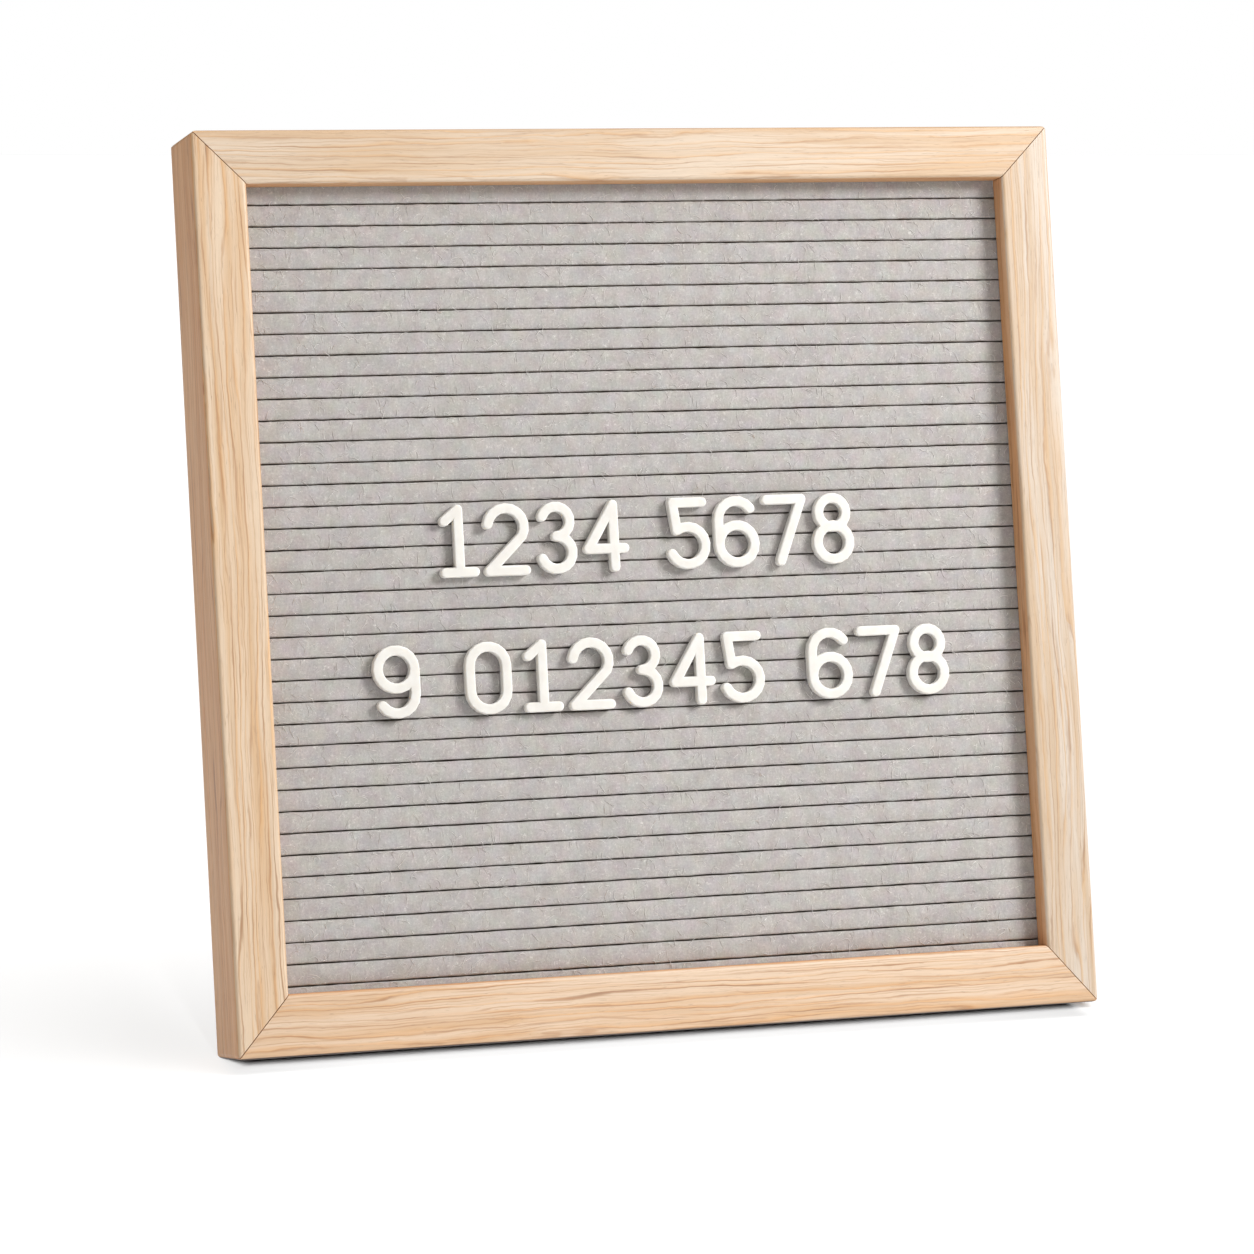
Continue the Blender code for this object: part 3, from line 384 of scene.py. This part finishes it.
def felt_material():
    """Short warm grey fibres, pressed flat, with pale curls, a faint mottling and painted shade down in the
    grooves.
    """
    n = Nodes("felt")
    place = n.board_place()
    curled = n.moved(place, (0.9, 0.9, 0.9), (2.6, 2.6, 2.6))
    clouds = n.noise(place, **FELT_CLOUDS)
    colour = n.blend(n.span(clouds, 0.3, 0.7), FELT_DEEP, FELT_PALE)
    tints = n.noise(n.stretched(place, (1, 1, 1), (50, 3, 8)), 0.22, 2, output="Color")
    colour = n.blend(FELT_TINT_SHARE, colour, tints, "OVERLAY")
    upright = n.noise(n.stretched(place, (1.7, 1.0, 0.35)), 1.0, 3, 0.65)
    colour = n.shaded(colour, n.span(upright, 0.25, 0.75, 0.94, 1.05))
    light = n.ridge(n.noise(curled, 0.75, 1), FELT_CURL_WIDTH)
    patches = n.span(n.noise(place, 0.6, 2), 0.42, 0.66, 0.0, FELT_CURL_STRENGTH)
    light = n.math("MULTIPLY", light, patches)
    colour = n.blend(light, colour, FELT_CURL)
    nap = n.noise(place, **FELT_NAP)
    fuzz = n.noise(place, **FELT_FUZZ)
    colour = n.shaded(colour, n.span(nap, 0.25, 0.75, 0.88, 1.11))
    colour = n.shaded(colour, n.span(fuzz, 0.2, 0.8, 0.87, 1.13))
    # Painted shade: the felt darker and browner down in the grooves
    depth = n.add("ShaderNodeSeparateXYZ", (("Vector", place),), "Y")
    low = (FELT_FACE + SHOULDER_RADIUS / 2) / MM
    colour = n.blend(n.span(depth, low, low + FELT_GROOVE_SHADE_FADE), colour, FELT_GROOVE_PAINTED_SHADE, "MULTIPLY")

    height = n.math("ADD", n.math("MULTIPLY", fuzz, 0.6), n.math("MULTIPLY", light, 0.2))
    height = n.math("ADD", height, n.math("MULTIPLY", nap, 0.8))
    normal = n.bump(height, FELT_RELIEF, 0.6)
    matt = {"Sheen_Weight": 0.15, "Sheen_Roughness": 0.5, "Specular_IOR_Level": 0.2}
    return n.finish(colour, 0.95, normal, **matt)


FIBRE_PALE = srgb(232, 229, 225)
FIBRE_GREY = srgb(204, 199, 194)
FIBRE_BROWN = srgb(178, 156, 136)


def fibre_material():
    """The felt's loose surface fibres: mostly pale, some grey or brownish."""
    n = Nodes("felt_fibres")
    place = n.board_place()
    which = n.noise(place, 0.8, 2)
    colour = n.blend(n.span(which, 0.35, 0.6), FIBRE_PALE, FIBRE_GREY)
    tint = n.noise(n.stretched(place, (1, 1, 1), (9, 40, 2)), 0.4, 1)
    colour = n.blend(n.span(tint, 0.64, 0.74, 0.0, 0.6), colour, FIBRE_BROWN)
    return n.finish(colour, 0.9, Specular_IOR_Level=0.2)


NUMERAL_DEEP = srgb(217, 214, 208)
NUMERAL_PALE = srgb(221, 219, 214)
NUMERAL_GLOW = {
    "Specular_IOR_Level": 0.4,
    "Subsurface_Weight": 0.7,
    "Subsurface_Scale": 1.6 * MM,
    "Subsurface_Radius": (1.0, 0.95, 0.85),
}


def numeral_material():
    """Satin white moulded plastic with a faint unevenness."""
    n = Nodes("numeral_plastic")
    place = n.board_place()
    clouds = n.noise(place, 0.35, 2)
    colour = n.blend(n.span(clouds, 0.3, 0.7), NUMERAL_DEEP, NUMERAL_PALE)
    skin = n.noise(place, 2.2, 3, 0.6)
    normal = n.bump(skin, 0.03 * MM, 0.35)
    return n.finish(colour, n.span(skin, 0.3, 0.7, 0.36, 0.48), normal, **NUMERAL_GLOW)


def board_material(name, pale, deep, speck):
    """Pressed wood fibre: a brown ground with paler and darker flecks."""
    n = Nodes(name)
    place = n.board_place()
    clouds = n.noise(place, 0.08, 4, 0.6)
    colour = n.blend(n.span(clouds, 0.3, 0.7), pale, deep)
    curled = n.moved(place, (0.7, 0.7, 0.7), (3.0, 3.0, 3.0))
    strands = n.ridge(n.noise(curled, 0.9, 2), 0.05)
    colour = n.blend(n.math("MULTIPLY", strands, 0.4), colour, speck)
    fine = n.noise(place, 3.0, 4, 0.7)
    colour = n.shaded(colour, n.span(fine, 0.2, 0.8, 0.8, 1.15))
    normal = n.bump(n.math("ADD", fine, n.math("MULTIPLY", strands, 0.4)), 0.05 * MM, 0.5)
    return n.finish(colour, n.span(fine, 0.2, 0.8, 0.5, 0.75), normal)


ZINC_COOL = srgb(196, 199, 204)
ZINC_PALE = srgb(214, 214, 210)


def steel_material():
    """Bright zinc on steel, with a fine drawn grain and faint cloudy patches."""
    n = Nodes("zinc_steel")
    place = n.board_place()
    clouds = n.noise(place, 0.45, 3, 0.6)
    colour = n.blend(n.span(clouds, 0.3, 0.7), ZINC_COOL, ZINC_PALE)
    drawn = n.noise(n.stretched(place, (0.3, 6.0, 6.0)), 1.0, 3, 0.7)
    normal = n.bump(drawn, 0.02 * MM, 0.4)
    rough = n.math("ADD", n.span(clouds, 0.3, 0.7, 0.26, 0.38), n.span(drawn, 0.2, 0.8, 0.0, 0.1))
    return n.finish(colour, rough, normal, Metallic=1.0)


oak = {
    "rail_top": oak_material("oak_top", False, (310, 11, 3), (0.92, 0.95, 0.98), drawing=0.72),
    "rail_bottom": oak_material("oak_bottom", False, (-520, 47, 21), (0.98, 0.95, 0.93), painted_under_shadow=OAK_UNDER_PAINTED_SHADOW),
    "rail_left": oak_material("oak_left", True, (140, 83, 37), (1.0, 1.0, 0.98), OAK_LEFT_SIDE_PAINTED_SHADE),
    "rail_right": oak_material(
        "oak_right", True, (-260, 5, 66), (0.87, 0.95, 1.06), OAK_RIGHT_SIDE_PAINTED_SHADE, drawing=0.8
    ),
}
felt = felt_material()
felt_fibres = fibre_material()
plastic = numeral_material()
steel = steel_material()
hardboard_tones = (srgb(148, 110, 78), srgb(132, 95, 66), srgb(180, 142, 106))
hardboard = board_material("hardboard", *hardboard_tones)
fibreboard_tones = (srgb(92, 70, 54), srgb(74, 55, 42), srgb(120, 96, 76))
fibreboard = board_material("core_fibreboard", *fibreboard_tones)


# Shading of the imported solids: their facets are joined, and shade smooth where they meet at a slight angle


def smoothing_group():
    group = bpy.data.node_groups.new("smooth_facets", "GeometryNodeTree")
    group.interface.new_socket("Geometry", in_out="INPUT", socket_type="NodeSocketGeometry")
    group.interface.new_socket("Sharp Angle", in_out="INPUT", socket_type="NodeSocketFloat")
    group.interface.new_socket("Geometry", in_out="OUTPUT", socket_type="NodeSocketGeometry")
    nodes, links = group.nodes, group.links
    start = nodes.new("NodeGroupInput")
    merge = nodes.new("GeometryNodeMergeByDistance")
    merge.inputs["Distance"].default_value = 0.001 * MM
    bare = nodes.new("GeometryNodeRemoveAttribute")
    bare.inputs["Name"].default_value = "custom_normal"
    soft = nodes.new("GeometryNodeSetShadeSmooth")
    soft.domain = "FACE"
    angle = nodes.new("GeometryNodeInputMeshEdgeAngle")
    flat = nodes.new("FunctionNodeCompare")
    flat.operation = "LESS_THAN"
    edges = nodes.new("GeometryNodeSetShadeSmooth")
    edges.domain = "EDGE"
    end = nodes.new("NodeGroupOutput")
    links.new(start.outputs["Geometry"], merge.inputs["Geometry"])
    links.new(merge.outputs["Geometry"], bare.inputs["Geometry"])
    links.new(bare.outputs["Geometry"], soft.inputs["Geometry"])
    links.new(soft.outputs["Geometry"], edges.inputs["Geometry"])
    links.new(angle.outputs["Unsigned Angle"], flat.inputs[0])
    links.new(start.outputs["Sharp Angle"], flat.inputs[1])
    links.new(flat.outputs["Result"], edges.inputs["Shade Smooth"])
    links.new(edges.outputs["Geometry"], end.inputs["Geometry"])
    return group


smooth_facets = smoothing_group()


def dress(node, material, sharp_degrees):
    obj = frame["nodes"][node]
    obj.data.materials.clear()
    obj.data.materials.append(material)
    step = obj.modifiers.new("smooth_facets", "NODES")
    step.node_group = smooth_facets
    socket = [item for item in smooth_facets.interface.items_tree if item.name == "Sharp Angle"][0]
    step[socket.identifier] = math.radians(sharp_degrees)
    weigh = obj.modifiers.new("weigh_normals", "WEIGHTED_NORMAL")
    weigh.keep_sharp = True
    weigh.weight = 60


for node in frame["nodes"]:
    if node in oak:
        dress(node, oak[node], OAK_SHARP)
    elif "numeral" in node:
        dress(node, plastic, PLASTIC_SHARP)
    elif node in ("back_panel", "strut_leg"):
        dress(node, hardboard, BOARD_SHARP)
    elif node == "groove_core":
        dress(node, fibreboard, BOARD_SHARP)
    elif node != "felt_sheet":
        dress(node, steel, STEEL_SHARP)


# Felt sheet


def wave(count, spacing, rough, random):
    """A smooth random row of about -1 to 1 whose bends lie a number of columns apart."""
    total = np.zeros(count)
    for step, share in ((spacing, 1.0), (spacing / 2.7, rough)):
        knots = random.uniform(-1, 1, int(count / step) + 4)
        at = np.arange(count) / step + random.uniform(0, 1)
        low = at.astype(int)
        part = at - low
        part = part * part * (3 - 2 * part)
        total += share * (knots[low] * (1 - part) + knots[low + 1] * part)
    return total / (1 + rough)


def felt_section():
    """The felt's face from top to bottom, in rows, and the heights of its grooves.

    Each row has its depth, its height, how far it follows its groove's wandering lip (positive above the groove
    and negative below it), its groove (None between two grooves) and how far it follows the face's unevenness.
    """
    half = GROOVE_MOUTH / 2
    radius = SHOULDER_RADIUS
    shoulder = FELT_FACE + PILLOW_RISE
    bottom = FELT_FACE + GROOVE_DEPTH
    rows = []

    def strip(top, low):
        """The swelling face between two shoulders."""
        for i in range(1, STRIP_STEPS):
            t = i / STRIP_STEPS
            rise = PILLOW_RISE * (1 - (2 * t - 1) ** 2)
            rows.append((shoulder - rise, top + (low - top) * t, 0, None, 1.0))

    heights = [FIRST_GROOVE - i * GROOVE_PITCH for i in range(GROOVE_COUNT)]
    rows.append((shoulder, PANEL_TOP, 0, None, 0.0))
    edge = PANEL_TOP
    for index, height in enumerate(heights):
        above = height + half + radius
        strip(edge, above)
        for i in range(SHOULDER_STEPS + 1):
            turn = math.radians(90 * i / SHOULDER_STEPS)
            depth = shoulder + radius * (1 - math.cos(turn))
            rows.append((depth, above - radius * math.sin(turn), 1, index, 1 - i / SHOULDER_STEPS))
        wall = shoulder + radius
        for i in range(1, WALL_STEPS + 1):
            t = i / WALL_STEPS
            rows.append((wall + (bottom - wall) * t, height + half, 1 - t, index, 0.0))
        for i in range(WALL_STEPS, 0, -1):
            t = i / WALL_STEPS
            rows.append((wall + (bottom - wall) * t, height - half, t - 1, index, 0.0))
        for i in range(SHOULDER_STEPS, -1, -1):
            turn = math.radians(90 * i / SHOULDER_STEPS)
            depth = shoulder + radius * (1 - math.cos(turn))
            low = height - half - radius + radius * math.sin(turn)
            rows.append((depth, low, -1, index, 1 - i / SHOULDER_STEPS))
        edge = height - half - radius
    strip(edge, PANEL_BOTTOM)
    rows.append((shoulder, PANEL_BOTTOM, 0, None, 0.0))
    return rows, heights


def felt_back(depth, height, heights):
    """Where the felt's back lies behind a point of its face."""
    outer = GROOVE_MOUTH / 2 + FELT_THICKNESS
    rear = FELT_FACE + FELT_THICKNESS
    bottom = FELT_FACE + GROOVE_DEPTH + FELT_THICKNESS
    near = min(heights, key=lambda groove: abs(groove - height))
    away = height - near
    wall = FELT_FACE + PILLOW_RISE + SHOULDER_RADIUS
    if depth < wall - 1e-9:
        inside = max(abs(away), outer)
        return rear, near + math.copysign(inside, away)
    share = (depth - wall) / (FELT_FACE + GROOVE_DEPTH - wall)
    return rear + (bottom - rear) * share, near + math.copysign(outer, away)


def build_felt():
    """A closed sheet: a finely divided face over a plain back, joined round the rim."""
    random = np.random.default_rng(SEED)
    rows, heights = felt_section()
    columns = FELT_COLUMNS + 1
    across = np.linspace(-PANEL_HALF_WIDTH, PANEL_HALF_WIDTH, columns)
    lips = {}
    for index in range(len(heights)):
        for side in (1, -1):
            lips[index, side] = wave(columns, *LIP_BENDS, random) * LIP_WAVE
    from_side = np.minimum(across + PANEL_HALF_WIDTH, PANEL_HALF_WIDTH - across)
    settle = np.minimum(1.0, from_side / RIM_WIDTH)
    face = np.array([wave(columns, *FACE_BENDS, random) for _ in rows])
    face = (face + np.roll(face, 1, axis=0) + np.roll(face, -1, axis=0)) / 2 * FACE_WAVE * settle
    points = []
    for number, (depth, height, lip, index, share) in enumerate(rows):
        shift = 0.0
        if index is not None and lip:
            shift = lips[index, 1 if lip > 0 else -1] * abs(lip)
        row = np.empty((columns, 3))
        row[:, 0] = across
        row[:, 1] = depth + face[number] * share
        row[:, 2] = height + shift
        points.append(row)
    front = np.concatenate(points)
    back = []
    for depth, height, *_ in rows:
        rear, behind = felt_back(depth, height, heights)
        back += [(-PANEL_HALF_WIDTH, rear, behind), (PANEL_HALF_WIDTH, rear, behind)]
    places = np.concatenate([front, np.array(back)])
    total = len(rows)
    first_back = total * columns
    faces = []
    for i in range(total - 1):
        a = i * columns
        b = a + columns
        faces += [(a + j, b + j, b + j + 1, a + j + 1) for j in range(columns - 1)]
        left, right = first_back + 2 * i, first_back + 2 * i + 1
        faces.append((left, right, right + 2, left + 2))
        faces.append((a, left, left + 2, b))
        faces.append((b + columns - 1, right + 2, right, a + columns - 1))
    last = (total - 1) * columns
    faces.append(tuple(range(columns)) + (first_back + 1, first_back))
    lowest = first_back + 2 * total - 2
    faces.append(tuple(range(last + columns - 1, last - 1, -1)) + (lowest, lowest + 1))
    mesh = bpy.data.meshes.new("felt")
    mesh.from_pydata([tuple(p) for p in places], [], faces)
    mesh.transform(board_to_row)
    mesh.materials.append(felt)
    mesh.shade_smooth()
    mesh.set_sharp_from_angle(angle=math.radians(FELT_SHARP_DEGREES))
    made = bpy.data.objects.new("felt", mesh)
    bpy.context.scene.collection.objects.link(made)
    return made


felt_piece = build_felt()
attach(felt_piece, "board")
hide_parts("felt_sheet")


# Loose fibres on the felt's face

FIBRE_COUNT = 5000
FIBRE_SEGMENTS = 5
FIBRE_SIDES = 3
FIBRE_RADIUS = 0.06 * MM
FIBRE_LENGTHS = (1.5 * MM, 4.5 * MM)
FIBRE_LIFTS = (0.03 * MM, 0.11 * MM)
FIBRE_SINK = 0.06 * MM
FIBRE_TURN_SPREAD = 0.75
FIBRE_CURL_SPREAD = 1.5
FIBRE_STARTS = (-0.2, 0.9)  # where fibres start, as shares of their strip's height
FIBRE_INSET = 0.6  # the share of the shoulder that they leave free
FIBRE_TIP = 0.3  # the tips' share of the radius
CROSSING_SHARE = 0.09  # fibres that bridge a groove


def build_fibres():
    """Short curled fibres that lie on the strips between the grooves, with both ends in the felt."""
    random = np.random.default_rng(SEED + 1)
    steps = np.linspace(0, 1, FIBRE_SEGMENTS + 1)
    length = random.uniform(*FIBRE_LENGTHS, FIBRE_COUNT)
    turn = random.normal(math.pi / 2, FIBRE_TURN_SPREAD, FIBRE_COUNT)
    curl = random.normal(0, FIBRE_CURL_SPREAD, FIBRE_COUNT)
    heading = turn[:, None] + curl[:, None] * steps[None, :]
    stride = length[:, None] / FIBRE_SEGMENTS
    along = np.cumsum(np.cos(heading) * stride, axis=1)
    up = np.cumsum(np.sin(heading) * stride, axis=1)

    strip = random.integers(0, GROOVE_COUNT + 1, FIBRE_COUNT)
    top = np.where(strip == 0, PANEL_TOP, FIRST_GROOVE - (strip - 1) * GROOVE_PITCH)
    low = np.where(strip == GROOVE_COUNT, PANEL_BOTTOM, FIRST_GROOVE - strip * GROOVE_PITCH)
    inset = GROOVE_MOUTH / 2 + SHOULDER_RADIUS * FIBRE_INSET
    margin = max(FIBRE_LENGTHS)
    x = random.uniform(-PANEL_HALF_WIDTH + margin, PANEL_HALF_WIDTH - margin, FIBRE_COUNT)
    z = low + (top - low) * random.uniform(*FIBRE_STARTS, FIBRE_COUNT)
    across = x[:, None] + along
    height = z[:, None] + up
    bound = np.clip(height, (low + inset)[:, None], (top - inset)[:, None])
    crosses = random.uniform(0, 1, FIBRE_COUNT) < CROSSING_SHARE
    loose = np.clip(height, PANEL_BOTTOM + inset, PANEL_TOP - inset)
    height = np.where(crosses[:, None], loose, bound)
    lift = random.uniform(*FIBRE_LIFTS, FIBRE_COUNT)
    depth = FELT_FACE + FIBRE_SINK - (FIBRE_SINK + lift[:, None]) * np.sin(math.pi * steps)[None, :]

    spine = np.stack([across, depth, height], axis=2)
    ahead = np.gradient(spine, axis=1)
    ahead /= np.linalg.norm(ahead, axis=2, keepdims=True)
    aside = np.cross(ahead, (0.0, 1.0, 0.0))
    aside /= np.linalg.norm(aside, axis=2, keepdims=True)
    outward = np.cross(aside, ahead)
    thin = FIBRE_RADIUS * np.where((steps == 0) | (steps == 1), FIBRE_TIP, 1.0)[None, :, None]
    rings = []
    for i in range(FIBRE_SIDES):
        angle = 2 * math.pi * i / FIBRE_SIDES
        rings.append(spine + (aside * math.cos(angle) + outward * math.sin(angle)) * thin)
    points = np.stack(rings, axis=2).reshape(-1, 3)

    per_fibre = (FIBRE_SEGMENTS + 1) * FIBRE_SIDES
    faces = []
    for step in range(FIBRE_SEGMENTS):
        for side in range(FIBRE_SIDES):
            after = (side + 1) % FIBRE_SIDES
            a = step * FIBRE_SIDES
            b = a + FIBRE_SIDES
            faces.append((a + side, a + after, b + after, b + side))
    first = (np.arange(FIBRE_COUNT) * per_fibre)[:, None, None]
    quads = np.array(faces)[None, :, :] + first
    ends = np.array([range(FIBRE_SIDES - 1, -1, -1), range(per_fibre - FIBRE_SIDES, per_fibre)])
    caps = ends[None, :, :] + first
    faces = quads.reshape(-1, 4).tolist() + caps.reshape(-1, FIBRE_SIDES).tolist()
    mesh = bpy.data.meshes.new("felt_fibres")
    mesh.from_pydata(points.tolist(), [], faces)
    mesh.transform(board_to_row)
    mesh.materials.append(felt_fibres)
    mesh.shade_smooth()
    made = bpy.data.objects.new("felt_fibres", mesh)
    bpy.context.scene.collection.objects.link(made)
    return made


fibre_piece = build_fibres()
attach(fibre_piece, "board")


# Camera, light and floor


def build_camera():
    data = bpy.data.cameras.new("camera")
    data.lens = CAMERA_LENS
    data.sensor_width = CAMERA_SENSOR
    data.clip_start, data.clip_end = CAMERA_CLIP
    camera = bpy.data.objects.new("camera", data)
    bpy.context.scene.collection.objects.link(camera)
    azimuth, down = math.radians(CAMERA_AZIMUTH), math.radians(CAMERA_DOWN)
    level = math.cos(down)
    ahead = Vector((math.sin(azimuth) * level, math.cos(azimuth) * level, -math.sin(down)))
    camera.location = CAMERA_PLACE
    camera.rotation_mode = "QUATERNION"
    camera.rotation_quaternion = ahead.to_track_quat("-Z", "Y")
    bpy.context.scene.camera = camera


def disc(name, radius, height, sides=96):
    points = [
        (radius * math.cos(2 * math.pi * i / sides), radius * math.sin(2 * math.pi * i / sides), height)
        for i in range(sides)
    ]
    mesh = bpy.data.meshes.new(name)
    mesh.from_pydata(points, [], [tuple(range(sides))])
    made = bpy.data.objects.new(name, mesh)
    bpy.context.scene.collection.objects.link(made)
    return made


STAGE_RADIUS = 12.0
FLOOR_SHADE = 0.425
FLOOR_VARIATION = 0.01

# Each light's FROM is in degrees, round from the front towards the right, and up. TOP and KEY light the board
# alone, and LOW, SIDE and FOOT the floor alone.
WORLD_STRENGTH = 0.215
WORLD_COLOUR = (1.03, 0.99, 0.94)
TOP_STRENGTH = 1.45
TOP_ANGLE = 70
TOP_FROM = (12, 83)
LOW_STRENGTH = 19.0
LOW_ANGLE = 9
LOW_FROM = (-18, 17)
SIDE_STRENGTH = 1.9
SIDE_ANGLE = 45
SIDE_FROM = (55, 62)
KEY_WATTS = 18.4
KEY_SIZE = 0.5
KEY_DISTANCE = 1.3
KEY_FROM = (47, 31)
FOOT_WATTS = 50
FOOT_DISTANCE = 1.2
FOOT_REACH = 0.12
FOOT_SIZE = 0.03
FOOT_BLEND = 0.15
FOOT_FROM = (-12, 24)


def direction(azimuth, up):
    azimuth, up = math.radians(azimuth), math.radians(up)
    level = math.cos(up)
    return Vector((math.sin(azimuth) * level, -math.cos(azimuth) * level, math.sin(up)))


def add_light(name, kind, energy, away, distance=0.0, height=(PANEL_BOTTOM + PANEL_TOP) / 2):
    """A light that shines at the board from the given direction, at its middle or another height."""
    data = bpy.data.lights.new(name, kind)
    data.energy = energy
    made = bpy.data.objects.new(name, data)
    bpy.context.scene.collection.objects.link(made)
    made.location = Vector((0, 0, height)) + away * distance
    made.rotation_mode = "QUATERNION"
    made.rotation_quaternion = (-away).to_track_quat("-Z", "Y")
    return made


def collected(name, objects):
    made = bpy.data.collections.new(name)
    for obj in objects:
        made.objects.link(obj)
    return made


def build_stage():
    floor = disc("floor", STAGE_RADIUS, 0.0)
    pale = Nodes("floor")
    clouds = pale.noise(pale.add("ShaderNodeTexCoord", output="Object"), 0.8, 2)
    shade = pale.blend(clouds, (FLOOR_SHADE,) * 3, (FLOOR_SHADE + FLOOR_VARIATION,) * 3)
    floor.data.materials.append(pale.finish(shade, 0.9, Specular_IOR_Level=0.0))

    sphere = bpy.data.meshes.new("backdrop")
    shape = bmesh.new()
    bmesh.ops.create_uvsphere(shape, u_segments=48, v_segments=24, radius=STAGE_RADIUS)
    shape.to_mesh(sphere)
    shape.free()
    backdrop = bpy.data.objects.new("backdrop", sphere)
    bpy.context.scene.collection.objects.link(backdrop)
    glow = bpy.data.materials.new("backdrop")
    glow.use_nodes = True
    glow.node_tree.nodes.clear()
    out = glow.node_tree.nodes.new("ShaderNodeOutputMaterial")
    light = glow.node_tree.nodes.new("ShaderNodeEmission")
    light.inputs["Color"].default_value = (1, 1, 1, 1)
    light.inputs["Strength"].default_value = 1.0
    glow.node_tree.links.new(light.outputs[0], out.inputs[0])
    sphere.materials.append(glow)
    backdrop.visible_diffuse = False
    backdrop.visible_glossy = False
    backdrop.visible_transmission = False
    backdrop.visible_shadow = False
    backdrop.visible_volume_scatter = False
    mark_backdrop(floor, backdrop)

    world = bpy.data.worlds.new("studio")
    bpy.context.scene.world = world
    world.use_nodes = True
    sky = world.node_tree.nodes["Background"]
    sky.inputs["Color"].default_value = (*WORLD_COLOUR, 1)
    sky.inputs["Strength"].default_value = WORLD_STRENGTH

    board_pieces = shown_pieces()
    top = add_light("top", "SUN", TOP_STRENGTH, direction(*TOP_FROM))
    top.data.angle = math.radians(TOP_ANGLE)
    top.light_linking.receiver_collection = collected("lit_by_top", board_pieces)
    side = add_light("side", "SUN", SIDE_STRENGTH, direction(*SIDE_FROM))
    side.data.angle = math.radians(SIDE_ANGLE)
    side.light_linking.receiver_collection = collected("lit_by_side", [floor])
    low = add_light("low", "SUN", LOW_STRENGTH, direction(*LOW_FROM))
    low.data.angle = math.radians(LOW_ANGLE)
    low.light_linking.receiver_collection = collected("lit_by_low", [floor])
    low.light_linking.blocker_collection = collected("shades_low", [frame["nodes"]["rail_bottom"]])
    key = add_light("key", "AREA", KEY_WATTS, direction(*KEY_FROM), KEY_DISTANCE)
    key.data.shape = "DISK"
    key.data.size = KEY_SIZE
    key.light_linking.receiver_collection = collected("lit_by_key", board_pieces)
    foot = add_light("foot", "SPOT", FOOT_WATTS, direction(*FOOT_FROM), FOOT_DISTANCE, height=0.0)
    foot.data.spot_size = 2 * math.atan(FOOT_REACH / FOOT_DISTANCE)
    foot.data.spot_blend = FOOT_BLEND
    foot.data.shadow_soft_size = FOOT_SIZE
    foot.light_linking.receiver_collection = collected("lit_by_foot", [floor])


build_camera()
build_stage()
view = bpy.context.scene.view_settings
view.view_transform = "Standard"
view.look = "None"
